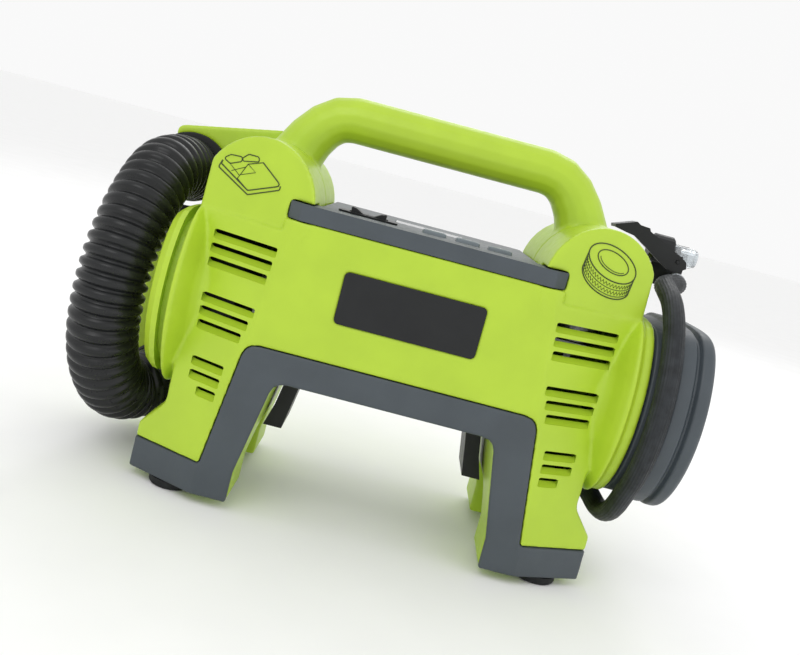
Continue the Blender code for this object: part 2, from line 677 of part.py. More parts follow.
def blower():
    """Motor, impeller and volute on the left, and the end cap with its inlet grille."""
    centre = (Y_MID, DRUM_Z)
    volute = cut(lathe([(-116, 40), (-92, 40)], "x", centre, 40),
                 lathe([(-125, 37.5), (-94.5, 37.5)], "x", centre, 40),
                 lathe([(-100, 3.2), (-80, 3.2)], "x", centre, 16))
    node(volute, "blower_volute", BLACK)
    impeller = join(lathe([(-98.5, 35.5), (-97.0, 35.5)], "x", centre, 32),
                    lathe([(-113, 9), (-97.5, 11)], "x", centre, 20),
                    lathe([(-98, 2.4), (-86.5, 2.4)], "x", centre, 12))
    for k in range(8):
        blade = box(-112, -98, 7, 34, -1.0, 1.0)
        turn = Matrix.Rotation(2 * math.pi * k / 8, 4, "X")
        blade.data.transform(Matrix.Translation(Vector((0, *centre)) * MM) @ turn)
        impeller = join(impeller, blade)
    node(impeller, "blower_impeller", BLACK, (-105, *centre))
    motor = join(lathe([(-85.5, 18), (-40, 18)], "x", centre, 28),
                 lathe([(-41, 6), (-36, 6)], "x", centre, 16))
    motor = cut(motor, lathe([(-90, 3.0), (-83, 3.0)], "x", centre, 12))
    node(motor, "blower_motor", STEEL)


def end_cap():
    """The green cap on the left drum, with slots that let the blower draw air."""
    centre = (Y_MID, DRUM_Z)
    x0, x1 = -CAP_X1, -CAP_X0
    cap = flat_drum([(x0, CAP_R - 8), (x0 + 1.5, CAP_R - 3.5), (x0 + 5, CAP_R - 0.5), (x1, CAP_R)])
    neck = flat_drum([(x1 - 1, CAP_R - 6), (-DRUM_END - GAP, CAP_R - 6)])
    cap = join(cap, neck)
    cap = cut(cap, flat_drum([(x0 + 3, CAP_R - 10), (-100, CAP_R - 9)], 40))
    for k in range(-3, 4):
        half = math.sqrt(36 ** 2 - (8 * k) ** 2)
        slot = box(x0 - 5, x0 + 5, Y_MID - half, Y_MID + half, DRUM_Z + 8 * k - 2, DRUM_Z + 8 * k + 2)
        cap = cut(cap, slot)
    node(cap, "left_end_cap", GREEN, (x0, *centre))


# ---------------------------------------------------------------- compressor

def compressor():
    """Motor, reduction gears, crank, piston and cylinder on the right."""
    motor = lathe([(34, 16), (72, 16)], "x", (PINION_Y, DRUM_Z), 28)
    motor = cut(motor, lathe([(66, 2.8), (80, 2.8)], "x", (PINION_Y, DRUM_Z), 12))
    node(motor, "compressor_motor", STEEL)
    pinion = join(gear(PINION_R, 10, 77.0, 84.0), lathe([(68, 2.2), (78, 2.2)], "x", (0, 0), 12))
    pinion.data.transform(Matrix.Translation(Vector((0, PINION_Y, DRUM_Z)) * MM))
    node(pinion, "motor_pinion", BRASS, (80.5, PINION_Y, DRUM_Z))
    crank = join(gear(CRANK_R, 32, 78.5, 83.0, half_tooth=True),
                 lathe([(70.5, 3.2), (80, 3.2)], "x", (0, 0), 16),
                 lathe([(82.5, 3.0), (88.0, 3.0)], "x", (0, CRANK_PIN_R), 16))
    crank.data.transform(Matrix.Translation(Vector((0, CRANK_Y, DRUM_Z)) * MM))
    node(crank, "crank_gear", NYLON, (CRANK_X, CRANK_Y, DRUM_Z))
    frame = box(74.4, 76.6, CRANK_Y - 17, PINION_Y + 10, DRUM_Z - 16, DRUM_Z + 17)
    frame = cut(frame, lathe([(60, 3.6), (80, 3.6)], "x", (CRANK_Y, DRUM_Z), 16),
                lathe([(60, 8.0), (80, 8.0)], "x", (PINION_Y, DRUM_Z), 16))
    frame = join(frame, box(74.4, 100.0, CRANK_Y - 14, CRANK_Y + 14, DRUM_Z + 22.5, DRUM_Z + 25.5))
    frame = join(frame, box(74.4, 76.6, CRANK_Y - 14, CRANK_Y + 14, DRUM_Z + 10, DRUM_Z + 24))
    centre = (PISTON_X, CRANK_Y)
    frame = cut(frame, lathe([(DRUM_Z + 15, 9.2), (DRUM_Z + 30, 9.2)], "z", centre, 20))
    node(frame, "compressor_frame", ALLOY)
    piston = join(lathe([(DRUM_Z + 36, 8.4), (DRUM_Z + 42, 8.4)], "z", centre, 20),
                  box(90.0, 94.0, CRANK_Y - 2.5, CRANK_Y + 2.5, DRUM_Z + 9, DRUM_Z + 37),
                  lathe([(89.0, 6.0), (94.0, 6.0)], "x", (CRANK_Y, DRUM_Z + CRANK_PIN_R), 20))
    node(piston, "piston_rod", ALLOY, (PISTON_X, CRANK_Y, DRUM_Z + CRANK_PIN_R))
    profile = [(DRUM_Z + 43, 8.8), (DRUM_Z + 25.8, 8.8), (DRUM_Z + 25.8, 11.5)]
    for k in range(3):
        z = DRUM_Z + 29 + 4.5 * k
        profile += [(z, 11.5), (z, 13.5), (z + 1.4, 13.5), (z + 1.4, 11.5)]
    profile.append((DRUM_Z + 43, 11.5))
    node(hollow_lathe(profile, "z", centre, 24), "cylinder", ALLOY)
    head = lathe([(DRUM_Z + 43.3, 13.5), (DRUM_Z + 47.5, 13.5), (DRUM_Z + 49, 11)], "z", centre, 24)
    node(head, "cylinder_head", ALLOY)


def gear(radius, teeth, x0, x1, half_tooth=False):
    """A spur gear about the X axis, at the origin of Y and Z."""
    outline = []
    for k in range(teeth):
        for part, reach in ((0.0, -0.7), (0.3, -0.7), (0.45, 0.7), (0.8, 0.7)):
            turn = 2 * math.pi * (k + part + (0.5 if half_tooth else 0.0)) / teeth
            outline.append(((radius + reach) * math.cos(turn), (radius + reach) * math.sin(turn)))
    return prism(outline, "x", x0, x1)


# ---------------------------------------------------------------- reel, hoses and chuck

def hose_reel():
    """The grey spool on the right: a winding groove, a collar and a rounded flange."""
    profile = [(REEL_X0, REEL_R - 2.5), (130.6, REEL_R), (143.4, REEL_R), (144.2, 62.5),
               (151.5, 62.5), (152.7, 60.3), (153.9, 60.3), (155.4, 63.0), (160.5, 63.0),
               (162.3, 61.8), (REEL_X1, 60.0)]
    reel = cut(flat_drum(profile), flat_drum([(100, 55), (159.5, 55)], 40))
    node(reel, "hose_reel", GREY, (REEL_X1, Y_MID, DRUM_Z))


def tube(name, points, radius, finish):
    """A hose as a round curve with closed ends."""
    curve = bpy.data.curves.new(name, "CURVE")
    curve.dimensions = "3D"
    curve.bevel_depth = radius * MM
    curve.bevel_resolution = CORD_SIDES
    curve.use_fill_caps = True
    spline = curve.splines.new("POLY")
    spline.points.add(len(points) - 1)
    for slot, p in zip(spline.points, points):
        slot.co = (*(Vector(p) * MM), 1.0)
    obj = link(curve, name)
    curve.materials.append(material(finish))
    obj.parent = bpy.data.objects["pump"]
    return obj


def on_reel(degrees):
    """A point of the hose in the groove: degrees turn from the back over the top to the front."""
    turn = math.radians(degrees)
    return (TURN_X, Y_MID + TURN_R * math.cos(turn), DRUM_Z + TURN_R * math.sin(turn))


def pressure_route():
    """From the gland, out under the reel, up its front, and off its top to the chuck."""
    return DROOP + [on_reel(angle) for angle in range(225, 90, -18)] + LIFT


def hose_points():
    """The middle line of the tyre hose at an even spacing."""
    return smooth_route(pressure_route(), 10.0)


def air_hose():
    """The corrugated hose, its port on the wing, its cuffs and its stowed nozzle."""
    x, z = PORT
    port = hollow_lathe([(42.0, 15.6), (42.0, 20.0), (43.0, 20.8), (WING_Y0 - GAP, 20.8),
                         (WING_Y0 - GAP, 15.6)], "y", (x, z), 32)
    node(port, "inflate_port", BLACK, (x, WING_Y0, z))
    tube("air_hose", smooth_route(AIR_ROUTE, 8.0), AIR_HOSE_R, RUBBER)
    hx, _, hz = AIR_ROUTE[-1]
    nozzle = cut(lathe([(56.6, 20.5), (64, 20.5), (66, 17), (84, 13.5)], "y", (hx, hz), 28),
                 lathe([(60, 11.5), (90, 11.5)], "y", (hx, hz), 24))
    node(nozzle, "air_nozzle", BLACK, (hx, 56.6, hz))


def pressure_hose():
    """The tyre hose and the gland where it leaves the drum."""
    tube("pressure_hose", hose_points(), PRESSURE_HOSE_R, RUBBER)
    gland = along(GLAND, GLAND_DIR, [(-12, 7.0), (0.5, 7.0), (2.0, 6.3)])
    node(gland, "hose_gland", BLACK, GLAND)


def chuck():
    """The tyre chuck: ferrule, elbow, body, clear sleeve, thumb lever and its pin."""
    before, end = hose_points()[-2:]
    ferrule = along(end, end - before, [(0.4, 5.4), (1.4, 6.2), (10.0, 6.2), (11.4, 5.0)])
    node(ferrule, "hose_ferrule", STEEL)
    elbow = along(end, end - before, [(11.7, 4.2), (19.0, 4.2)], 12)
    back = CHUCK_Y + CHUCK_R + GAP
    elbow = join(elbow, box(138, 158, back, back + 3, 170.5, CHUCK_Z + 5))
    node(elbow, "chuck_elbow", BLACK)
    front = CHUCK_Y - CHUCK_R
    centre = (CHUCK_Y, CHUCK_Z)
    body = lathe([(BODY_X0, 6.5), (BODY_X0 + 2, CHUCK_R), (BODY_X1 - 1, CHUCK_R), (BODY_X1, CHUCK_R - 1)],
                 "x", centre, 20)
    px, pz = LEVER_PIVOT
    lug = prism([(138, 184), (150.5, 184), (150.5, 191), (138, 191)], "y", front + 0.2, front + 1.6)
    body = join(body, lug, box(138, BODY_X1 - 0.6, front + 0.2, CHUCK_Y, 185, 191))
    body = cut(body, lathe([(20, 1.4), (33, 1.4)], "y", (px, pz), 10))
    node(body, "chuck_body", BLACK)
    axis = (CHUCK_Y, CHUCK_Z - 1.2)
    sleeve = cut(lathe([(BODY_X1 + GAP, SLEEVE_R - 0.5), (BODY_X1 + 1.5, SLEEVE_R),
                        (SLEEVE_X1 - 2.5, SLEEVE_R), (SLEEVE_X1, SLEEVE_R - 1.1)], "x", axis, 20),
                 lathe([(BORE_X, BORE_R), (BORE_X + 20, BORE_R)], "x", axis, 16))
    node(sleeve, "chuck_sleeve", CLEAR)
    pin = lathe([(LEVER_Y0 - 0.8, 1.1), (front + 1.4, 1.1)], "y", LEVER_PIVOT, 10)
    node(pin, "lever_pin", STEEL)
    blade = [(105.9, 198.1), (105.4, 199.8), (117.7, 204.2), (120.1, 202.8), (125.9, 202.4),
             (126.9, 200.6), (134, 197.5), (147, 191.5), (152.5, 188.5), (153.6, 184.6),
             (148.5, 181.2), (142.5, 181.8), (136.5, 185.0), (118.5, 195.8), (113.0, 196.7)]
    tab = [(105.9, 198.1), (105.4, 199.8), (117.7, 204.2), (120.1, 202.8), (118.6, 200.2)]
    lever = join(prism(blade[::-1], "y", LEVER_Y0, LEVER_Y1),
                 prism(tab[::-1], "y", LEVER_Y0, LEVER_Y0 + 13))
    lever = cut(lever, lathe([(20, 1.4), (33, 1.4)], "y", LEVER_PIVOT, 10))
    node(lever, "chuck_lever", BLACK, (px, LEVER_Y0, pz))


# ---------------------------------------------------------------- feet

def feet():
    """Four round rubber feet under the legs."""
    for name, x, y in (("foot_front_left", -104, -34), ("foot_front_right", 104, -34),
                       ("foot_rear_left", -104, 48), ("foot_rear_right", 104, 48)):
        pad = lathe([(0, 10.5), (1.0, 11.8), (Z_LEG - GAP, 12.2)], "z", (x, y), 24)
        node(pad, name, RUBBER, (x, y, 0))


def build():
    """Make every piece under one empty that centres the pump on its feet."""
    clear_scene()
    root = bpy.data.objects.new("pump", None)
    bpy.context.collection.objects.link(root)
    front_shell()
    rear_shell()
    front_bezel()
    node(badge_solid(), "badge_plate", BLACK)
    screws()
    deck_panel()
    rocker()
    buttons()
    electronics()
    battery_dock()
    blower()
    end_cap()
    compressor()
    hose_reel()
    air_hose()
    pressure_hose()
    chuck()
    feet()
    root.location = (0, -Y_MID * MM, 0)


build()
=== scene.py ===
"""Looks of the two-way air pump: moulded shells, louvres, hoses, controls, materials, light and camera.

Lengths are in millimetres in the drawing's frame, whose Y lies Y_MID in front of the row frame's Y,
and become metres in the row frame when a mesh is made.
"""
import math

import bmesh
import bpy
from mathutils import Matrix, Vector


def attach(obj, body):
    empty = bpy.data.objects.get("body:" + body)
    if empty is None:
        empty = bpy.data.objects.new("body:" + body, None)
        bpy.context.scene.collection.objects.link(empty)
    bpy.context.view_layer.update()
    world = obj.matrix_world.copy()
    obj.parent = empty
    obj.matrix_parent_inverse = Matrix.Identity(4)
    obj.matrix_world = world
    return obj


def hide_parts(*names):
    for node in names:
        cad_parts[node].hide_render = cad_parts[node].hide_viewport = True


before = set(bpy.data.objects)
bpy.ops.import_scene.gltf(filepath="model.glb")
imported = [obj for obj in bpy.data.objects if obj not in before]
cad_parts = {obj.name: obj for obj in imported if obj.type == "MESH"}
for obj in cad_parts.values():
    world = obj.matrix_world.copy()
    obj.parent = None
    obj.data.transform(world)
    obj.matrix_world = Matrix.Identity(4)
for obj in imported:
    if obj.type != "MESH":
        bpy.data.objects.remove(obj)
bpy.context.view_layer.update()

MM = 0.001
Y_MID = 7.0

# Driving sizes.
DRUM_Z = 106.0
SHOULDER_X, SHOULDER_Z, SHOULDER_Y = 93.0, 163.5, -40.3
DISC_RISE, DISC_RUN = 0.15, 0.45  # lean of the discs, upward and outward
FLAT_TOP, FLAT_LOW = 13.5, 7.0    # how much flatter the drums are above and below
SOFT = 14                         # power of the drums' soft corners
Y_FRONT = -55.0
CONTROL_Y = -24.0
ROCKER_X = -34.5
BUTTON_X = {"button_power": 2.0, "button_minus": 20.5, "button_plus": 38.5}
BUTTON_TOP, BUTTON_W, BUTTON_D = 171.0, 13.0, 8.0
REEL_X0, REEL_X1, REEL_R = 129.3, 163.0, 60.0
AIR_HOSE_R = 19.5
PRESSURE_HOSE_R = 5.8
TURN_R = REEL_R + PRESSURE_HOSE_R + 0.8
TURN_X = 136.7
AIR_ROUTE = [
    (-142, 41.2, 35), (-142, 33, 35), (-142.4, 26, 34.6), (-146, 19, 33.2), (-151, 10, 32.8),
    (-154.5, -1, 36.5), (-157, -12, 45.5), (-159, -21, 58.5), (-160, -27.5, 76), (-160, -29, 96),
    (-159.3, -26, 117), (-158, -18, 136), (-156.5, -6, 151.5), (-155.3, 9, 162),
    (-153.4, 25, 165.5), (-152, 40, 165.5), (-152, 48, 165.5), (-152, 56, 165.5),
]
DROOP = [(124.48, 6.91, 49.2), (127.8, 5.1, 47.0), (131.6, 3.0, 43.6), (135.6, -4, 39.6),
         (137.6, -13, 40.2), (137.9, -23, 44.6), (137.2, -32.5, 51.0)]
LIFT = [(137.6, 4.5, 173.1), (142.5, 12, 174.4), (148.0, 19, 174.5), (150.2, 24.5, 174.3),
        (150.9, 29.5, 174.6)]
RING_PITCH = 6.5                  # corrugations of the air hose
PORT_X, PORT_Z = -142.0, 35.0
NOZZLE_X, NOZZLE_Z = -152.0, 165.5
HOLE_X, HOLE_Z = -150.0, 163.0    # the wing's hole
FOOT_X, FOOT_FRONT_Y, FOOT_REAR_Y = 104, -34, 48

# Moulding: voxel size and smoothing rounds of each remeshed shell.
FRONT_MELT = (0.95, 9)
REAR_MELT = (0.95, 11)
TRIM_MELT = (0.8, 5)

# Camera: where it stands, how it is turned, and its lens.
CAMERA_PLACE = (-0.0137, -0.5165, 0.1968)
YAW, PITCH_ANGLE, ROLL = 0.0223, -0.1660, 0.2609
LENS, SENSOR = 40.5, 36.0

# Stage, in metres, and light powers in watts.
FLOOR_HALF = 40.0
SKY_STRENGTH = 0.95
LIGHT_TARGET = (0.0, 0.0, 0.11)
LIGHTS = {
    "key": ((-0.5, -1.1, 1.2), 0.8, 4.2),
    "fill": ((1.0, -1.0, 0.5), 1.2, 1.6),
    "back": ((0.2, 1.1, 1.1), 1.0, 4.4),
}

# Linear colours.
LIME = (0.42, 0.60, 0.030)
SLATE = (0.053, 0.066, 0.077)
BLACK = (0.012, 0.013, 0.014)
BUTTON = (0.17, 0.20, 0.22)
INK = (0.035, 0.055, 0.010)
FLOOR_LOW, FLOOR_HIGH = (0.94, 0.94, 0.937), (0.96, 0.96, 0.957)


# ---------------------------------------------------------------- meshes

def link(mesh, name):
    """A mesh or curve as a linked object."""
    obj = bpy.data.objects.new(name, mesh)
    bpy.context.scene.collection.objects.link(obj)
    return obj


def from_bmesh(bm, name):
    """A mesh object in the row frame from a bmesh in millimetres."""
    bmesh.ops.remove_doubles(bm, verts=bm.verts, dist=0.001)
    bmesh.ops.recalc_face_normals(bm, faces=bm.faces)
    bm.transform(Matrix.Scale(MM, 4) @ Matrix.Translation((0, -Y_MID, 0)))
    mesh = bpy.data.meshes.new(name)
    bm.to_mesh(mesh)
    bm.free()
    return link(mesh, name)


def loft(rings, name="solid", closed=False):
    """A surface through closed rings: capped at both ends, or joined end to end."""
    bm = bmesh.new()
    rows = [[bm.verts.new(p) for p in ring] for ring in rings]
    count = len(rows[0])
    for low, high in zip(rows, rows[1:] + (rows[:1] if closed else [])):
        for i in range(count):
            j = (i + 1) % count
            bm.faces.new((low[i], low[j], high[j], high[i]))
    if not closed:
        bm.faces.new(rows[0])
        bm.faces.new(rows[-1])
    return from_bmesh(bm, name)


def prism(outline, axis, low, high, name="solid"):
    """An outline extruded along an axis; the outline gives the other two axes in order."""
    def place(a, b, level):
        return {"x": (level, a, b), "y": (a, level, b), "z": (a, b, level)}[axis]
    return loft([[place(a, b, level) for a, b in outline] for level in (low, high)], name)


def box(x0, x1, y0, y1, z0, z1, name="solid"):
    """A block between two corners."""
    return prism([(x0, y0), (x1, y0), (x1, y1), (x0, y1)], "z", z0, z1, name)


def round_corners(points, steps=6):
    """An outline from (a, b, radius) corners, each rounded by its radius."""
    out = []
    count = len(points)
    for i, (a, b, radius) in enumerate(points):
        here = Vector((a, b))
        before = Vector(points[i - 1][:2]) - here
        after = Vector(points[(i + 1) % count][:2]) - here
        if radius <= 0:
            out.append(tuple(here))
            continue
        half = before.angle(after) / 2
        reach = min(radius / math.tan(half), 0.48 * before.length, 0.48 * after.length)
        start = here + before.normalized() * reach
        end = here + after.normalized() * reach
        for k in range(steps + 1):
            t = k / steps
            out.append(tuple(start * (1 - t) ** 2 + here * 2 * t * (1 - t) + end * t * t))
    return out


def soft_rectangle(half_w, half_d, radius, centre=(0, 0)):
    """A rectangle with rounded corners."""
    a, b = centre
    return round_corners([(a - half_w, b - half_d, radius), (a + half_w, b - half_d, radius),
                          (a + half_w, b + half_d, radius), (a - half_w, b + half_d, radius)])


def turned(profile, name, axis, centre, sides, closed=False):
    """A turned solid from (position, radius) pairs along an axis."""
    rings = []
    for level, radius in profile:
        ring = []
        for k in range(sides):
            turn = 2 * math.pi * k / sides
            a = centre[0] + radius * math.cos(turn)
            b = centre[1] + radius * math.sin(turn)
            ring.append({"y": (a, level, b), "z": (a, b, level)}[axis])
        rings.append(ring)
    return loft(rings, name, closed)


def drum_section(radius, count):
    """Points round a drum: round in front and behind, flat above and below, with soft corners."""
    ring = []
    for k in range(count):
        turn = 2 * math.pi * k / count
        across, up = math.cos(turn), math.sin(turn)
        flat = (radius - (FLAT_TOP if up > 0 else FLAT_LOW)) / max(abs(up), 0.01)
        reach = radius if radius < 30 else (radius ** -SOFT + flat ** -SOFT) ** (-1 / SOFT)
        ring.append((Y_MID + reach * across, DRUM_Z + reach * up))
    return ring


def flat_drum(profile, name, closed=False, count=120):
    """A solid along X through drum sections, from (x, radius) pairs."""
    rings = [[(x, y, z) for y, z in drum_section(radius, count)] for x, radius in profile]
    return loft(rings, name, closed)


def rounded_profile(corners, steps=5):
    """A turned profile from (position, radius, rounding) corners, its ends left square."""
    out = [corners[0][:2]]
    for before, here, after in zip(corners, corners[1:], corners[2:]):
        p = Vector(here[:2])
        u, v = Vector(before[:2]) - p, Vector(after[:2]) - p
        reach = min(here[2], 0.48 * u.length, 0.48 * v.length)
        if reach <= 0:
            out.append(here[:2])
            continue
        start, end = p + u.normalized() * reach, p + v.normalized() * reach
        for k in range(steps + 1):
            t = k / steps
            out.append(tuple(start * (1 - t) ** 2 + p * 2 * t * (1 - t) + end * t * t))
    out.append(corners[-1][:2])
    return out


def smooth_route(route, spacing):
    """Points at an even spacing on a smooth curve through a route."""
    pts = [Vector(p) for p in route]
    fine = []
    steps = 24
    for i in range(len(pts) - 1):
        p0, p1, p2, p3 = pts[max(i - 1, 0)], pts[i], pts[i + 1], pts[min(i + 2, len(pts) - 1)]
        for k in range(steps):
            t = k / steps
            fine.append(0.5 * (2 * p1 + (p2 - p0) * t + (2 * p0 - 5 * p1 + 4 * p2 - p3) * t * t
                               + (3 * p1 - p0 - 3 * p2 + p3) * t ** 3))
    fine.append(pts[-1])
    lengths = [0.0]
    for a, b in zip(fine, fine[1:]):
        lengths.append(lengths[-1] + (b - a).length)
    count = max(2, round(lengths[-1] / spacing) + 1)
    out, j = [], 0
    for k in range(count):
        want = lengths[-1] * k / (count - 1)
        while j < len(fine) - 2 and lengths[j + 1] < want:
            j += 1
        span = lengths[j + 1] - lengths[j]
        out.append(fine[j].lerp(fine[j + 1], (want - lengths[j]) / span if span else 0.0))
    return out


def route_length(points):
    """Length of a line of points."""
    return sum((b - a).length for a, b in zip(points, points[1:]))


def swept(points, radius, sides, name):
    """A tube along points without twist; radius(i, angle) gives its surface."""
    rings = []
    side = None
    for i, p in enumerate(points):
        along = (points[min(i + 1, len(points) - 1)] - points[max(i - 1, 0)]).normalized()
        if side is None:
            side = along.orthogonal().normalized()
        side = (side - along * side.dot(along)).normalized()
        up = along.cross(side)
        ring = []
        for k in range(sides):
            turn = 2 * math.pi * k / sides
            reach = radius(i, turn)
            ring.append(p + reach * (math.cos(turn) * side + math.sin(turn) * up))
        rings.append(ring)
    return loft(rings, name)


def cad_copy(node, name):
    """A new object with a copy of a node's mesh."""
    return link(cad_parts[node].data.copy(), name)


def bake(obj):
    """Replace an object's mesh by what its modifiers make of it."""
    bpy.context.view_layer.update()
    shaped = obj.evaluated_get(bpy.context.evaluated_depsgraph_get())
    mesh = bpy.data.meshes.new_from_object(shaped)
    obj.modifiers.clear()
    obj.data = mesh
    return obj


def combine(base, tools, operation, solver="EXACT"):
    """The base after one boolean with each tool; the tools are used up."""
    for tool in tools:
        modifier = base.modifiers.new("cut", "BOOLEAN")
        modifier.operation = operation
        modifier.solver = solver
        modifier.object = tool
        bake(base)
        bpy.data.objects.remove(tool)
    return base


def joined(objects):
    """Several separate meshes as one object."""
    bm = bmesh.new()
    for obj in objects:
        bm.from_mesh(obj.data)
        bpy.data.objects.remove(obj)
    mesh = bpy.data.meshes.new("joined")
    bm.to_mesh(mesh)
    bm.free()
    return link(mesh, "joined")


def melt(obj, voxel, rounds):
    """Turn a hard-edged solid into a moulded one, every edge rounded by about a voxel or two."""
    remesh = obj.modifiers.new("remesh", "REMESH")
    remesh.mode = "VOXEL"
    remesh.voxel_size = voxel * MM
    smooth = obj.modifiers.new("smooth", "SMOOTH")
    smooth.factor = 0.5
    smooth.iterations = rounds
    return bake(obj)


def soften(obj, width, segments=3, angle=32.0):
    """Round the hard edges of a piece with a bevel."""
    bevel = obj.modifiers.new("bevel", "BEVEL")
    bevel.width = width * MM
    bevel.segments = segments
    bevel.limit_method = "ANGLE"
    bevel.angle_limit = math.radians(angle)
    bevel.harden_normals = True
    bevel.miter_outer = "MITER_ARC"
    return obj


def shade(obj, angle=35.0):
    """Smooth shading with sharp edges above an angle."""
    obj.data.shade_smooth()
    obj.data.set_sharp_from_angle(angle=math.radians(angle))
    return obj


def piece(obj, name, material, body="housing", stands_for=()):
    """Name a finished piece, dress it and hang it on its body."""
    obj.name = name
    obj.data.name = name
    obj.data.materials.clear()
    obj.data.materials.append(material)
    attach(obj, body)
    if stands_for:
        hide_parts(*stands_for)
    return obj


# ---------------------------------------------------------------- materials

class Maker:
    """A material's node tree with short calls for its nodes."""

    def __init__(self, name):
        self.material = bpy.data.materials.new(name)
        self.material.use_nodes = True
        self.tree = self.material.node_tree
        self.shader = self.tree.nodes["Principled BSDF"]
        self.place = self.tree.nodes.new("ShaderNodeTexCoord").outputs["Object"]

    def set(self, **values):
        """Constant values on the shader's own sockets."""
        for key, value in values.items():
            socket = self.shader.inputs[key.replace("_", " ")]
            socket.default_value = (*value, 1.0) if isinstance(value, tuple) else value

    def join(self, out, node, socket):
        """Link an output to a node's input."""
        self.tree.links.new(out, node.inputs[socket])

    def noise(self, size, detail=2.0, stretch=(1, 1, 1)):
        """Noise whose features are about that many millimetres."""
        mapping = self.tree.nodes.new("ShaderNodeMapping")
        mapping.inputs["Scale"].default_value = stretch
        self.join(self.place, mapping, "Vector")
        node = self.tree.nodes.new("ShaderNodeTexNoise")
        node.inputs["Scale"].default_value = 1.0 / (size * MM)
        node.inputs["Detail"].default_value = detail
        self.join(mapping.outputs["Vector"], node, "Vector")
        return node.outputs["Fac"]

    def ramp(self, value, low, high, start=0.35, end=0.65):
        """A value spread between two colours."""
        node = self.tree.nodes.new("ShaderNodeValToRGB")
        node.color_ramp.elements[0].position = start
        node.color_ramp.elements[1].position = end
        node.color_ramp.elements[0].color = (*low, 1.0)
        node.color_ramp.elements[1].color = (*high, 1.0)
        self.join(value, node, "Fac")
        return node.outputs["Color"]

    def spread(self, value, low, high):
        """A value mapped to a range of numbers."""
        node = self.tree.nodes.new("ShaderNodeMapRange")
        node.inputs["From Min"].default_value = 0.3
        node.inputs["From Max"].default_value = 0.7
        node.inputs["To Min"].default_value = low
        node.inputs["To Max"].default_value = high
        self.join(value, node, "Value")
        return node.outputs["Result"]

    def bump(self, value, strength, depth):
        """Bump from a value, its depth in millimetres."""
        node = self.tree.nodes.new("ShaderNodeBump")
        node.inputs["Strength"].default_value = strength
        node.inputs["Distance"].default_value = depth * MM
        self.join(value, node, "Height")
        self.join(node.outputs["Normal"], self.shader, "Normal")

    def colour(self, out):
        """Drive the base colour."""
        self.join(out, self.shader, "Base Color")

    def roughness(self, out):
        """Drive the roughness."""
        self.join(out, self.shader, "Roughness")


def scaled(colour, factor):
    """A colour made lighter or darker."""
    return tuple(min(1.0, c * factor) for c in colour)


def plastic(name, colour, rough=0.42, grain=0.45, strength=0.25, vary=0.04, specular=0.5):
    """Moulded plastic: fine spark-eroded grain, faint flow marks, slightly uneven gloss."""
    m = Maker(name)
    m.colour(m.ramp(m.noise(22, 3.0), scaled(colour, 1 - vary), scaled(colour, 1 + vary)))
    m.roughness(m.spread(m.noise(3.5, 4.0), rough - 0.05, rough + 0.06))
    m.bump(m.noise(grain, 2.0), strength, 0.05)
    m.set(Specular_IOR_Level=specular)
    return m.material


def rubber(name, colour, rough=0.6, grain=0.3, strength=0.35):
    """Matt rubber with a fine grain and a dusty bloom."""
    m = Maker(name)
    m.colour(m.ramp(m.noise(6, 5.0), scaled(colour, 0.75), scaled(colour, 1.35)))
    m.roughness(m.spread(m.noise(2.0, 3.0), rough - 0.08, rough + 0.1))
    m.bump(m.noise(grain, 3.0), strength, 0.05)
    m.set(Specular_IOR_Level=0.3)
    return m.material


def metal(name, colour, rough=0.28, stretch=(1, 1, 14)):
    """Plated or brushed metal with fine draw lines."""
    m = Maker(name)
    m.colour(m.ramp(m.noise(1.2, 3.0, stretch), scaled(colour, 0.85), scaled(colour, 1.08)))
    m.roughness(m.spread(m.noise(0.8, 2.0, stretch), rough - 0.08, rough + 0.1))
    m.bump(m.noise(0.5, 2.0, stretch), 0.15, 0.02)
    m.set(Metallic=1.0)
    return m.material


def clear(name, tint, rough=0.08):
    """Clear plastic with faint moulding ripples."""
    m = Maker(name)
    m.colour(m.ramp(m.noise(8, 2.0), scaled(tint, 0.94), tint))
    m.roughness(m.spread(m.noise(2.0, 2.0), rough, rough + 0.08))
    m.bump(m.noise(1.5, 2.0), 0.1, 0.05)
    m.set(Transmission_Weight=0.75, IOR=1.49)
    return m.material


GREEN_MAT = plastic("lime_plastic", LIME, 0.40, 0.5, 0.16, 0.03)
SLATE_MAT = plastic("slate_plastic", SLATE, 0.46, 0.55, 0.4, 0.06)
BLACK_MAT = plastic("black_plastic", BLACK, 0.42, 0.5, 0.25, 0.1, 0.3)
BUTTON_MAT = plastic("button_plastic", BUTTON, 0.5, 0.4, 0.2, 0.04)
HOSE_MAT = plastic("hose_plastic", scaled(BLACK, 0.8), 0.3, 0.8, 0.12, 0.15, 0.35)
TYRE_HOSE_MAT = rubber("tyre_hose_rubber", (0.018, 0.021, 0.024), 0.5)
FOOT_MAT = rubber("foot_rubber", BLACK, 0.7)
STEEL_MAT = metal("steel", (0.62, 0.63, 0.65))
ALLOY_MAT = metal("cast_alloy", (0.45, 0.46, 0.48), 0.45, (1, 1, 1))
BRASS_MAT = metal("brass", (0.70, 0.50, 0.20))
CLEAR_MAT = clear("clear_plastic", (0.86, 0.90, 0.93))
LENS_MAT = clear("display_lens", (0.18, 0.20, 0.21), 0.05)
BOARD_MAT = plastic("board_green", (0.02, 0.12, 0.05), 0.35, 0.8, 0.3, 0.2)
NYLON_MAT = plastic("nylon", (0.72, 0.70, 0.65), 0.5, 0.6, 0.2, 0.05)
INK_MAT = plastic("print_ink", INK, 0.5, 0.3, 0.1, 0.08)
PALE_MAT = plastic("pale_print", (0.62, 0.64, 0.66), 0.5, 0.3, 0.1, 0.04)


# ---------------------------------------------------------------- shells

def panel_edges(z):
    """Half width of the crease, and how far the angled panel runs back, at a height."""
    t = (z - 2.0) / 161.0
    return 90.0 - 21.3 * t, 18.5 + 10.1 * t


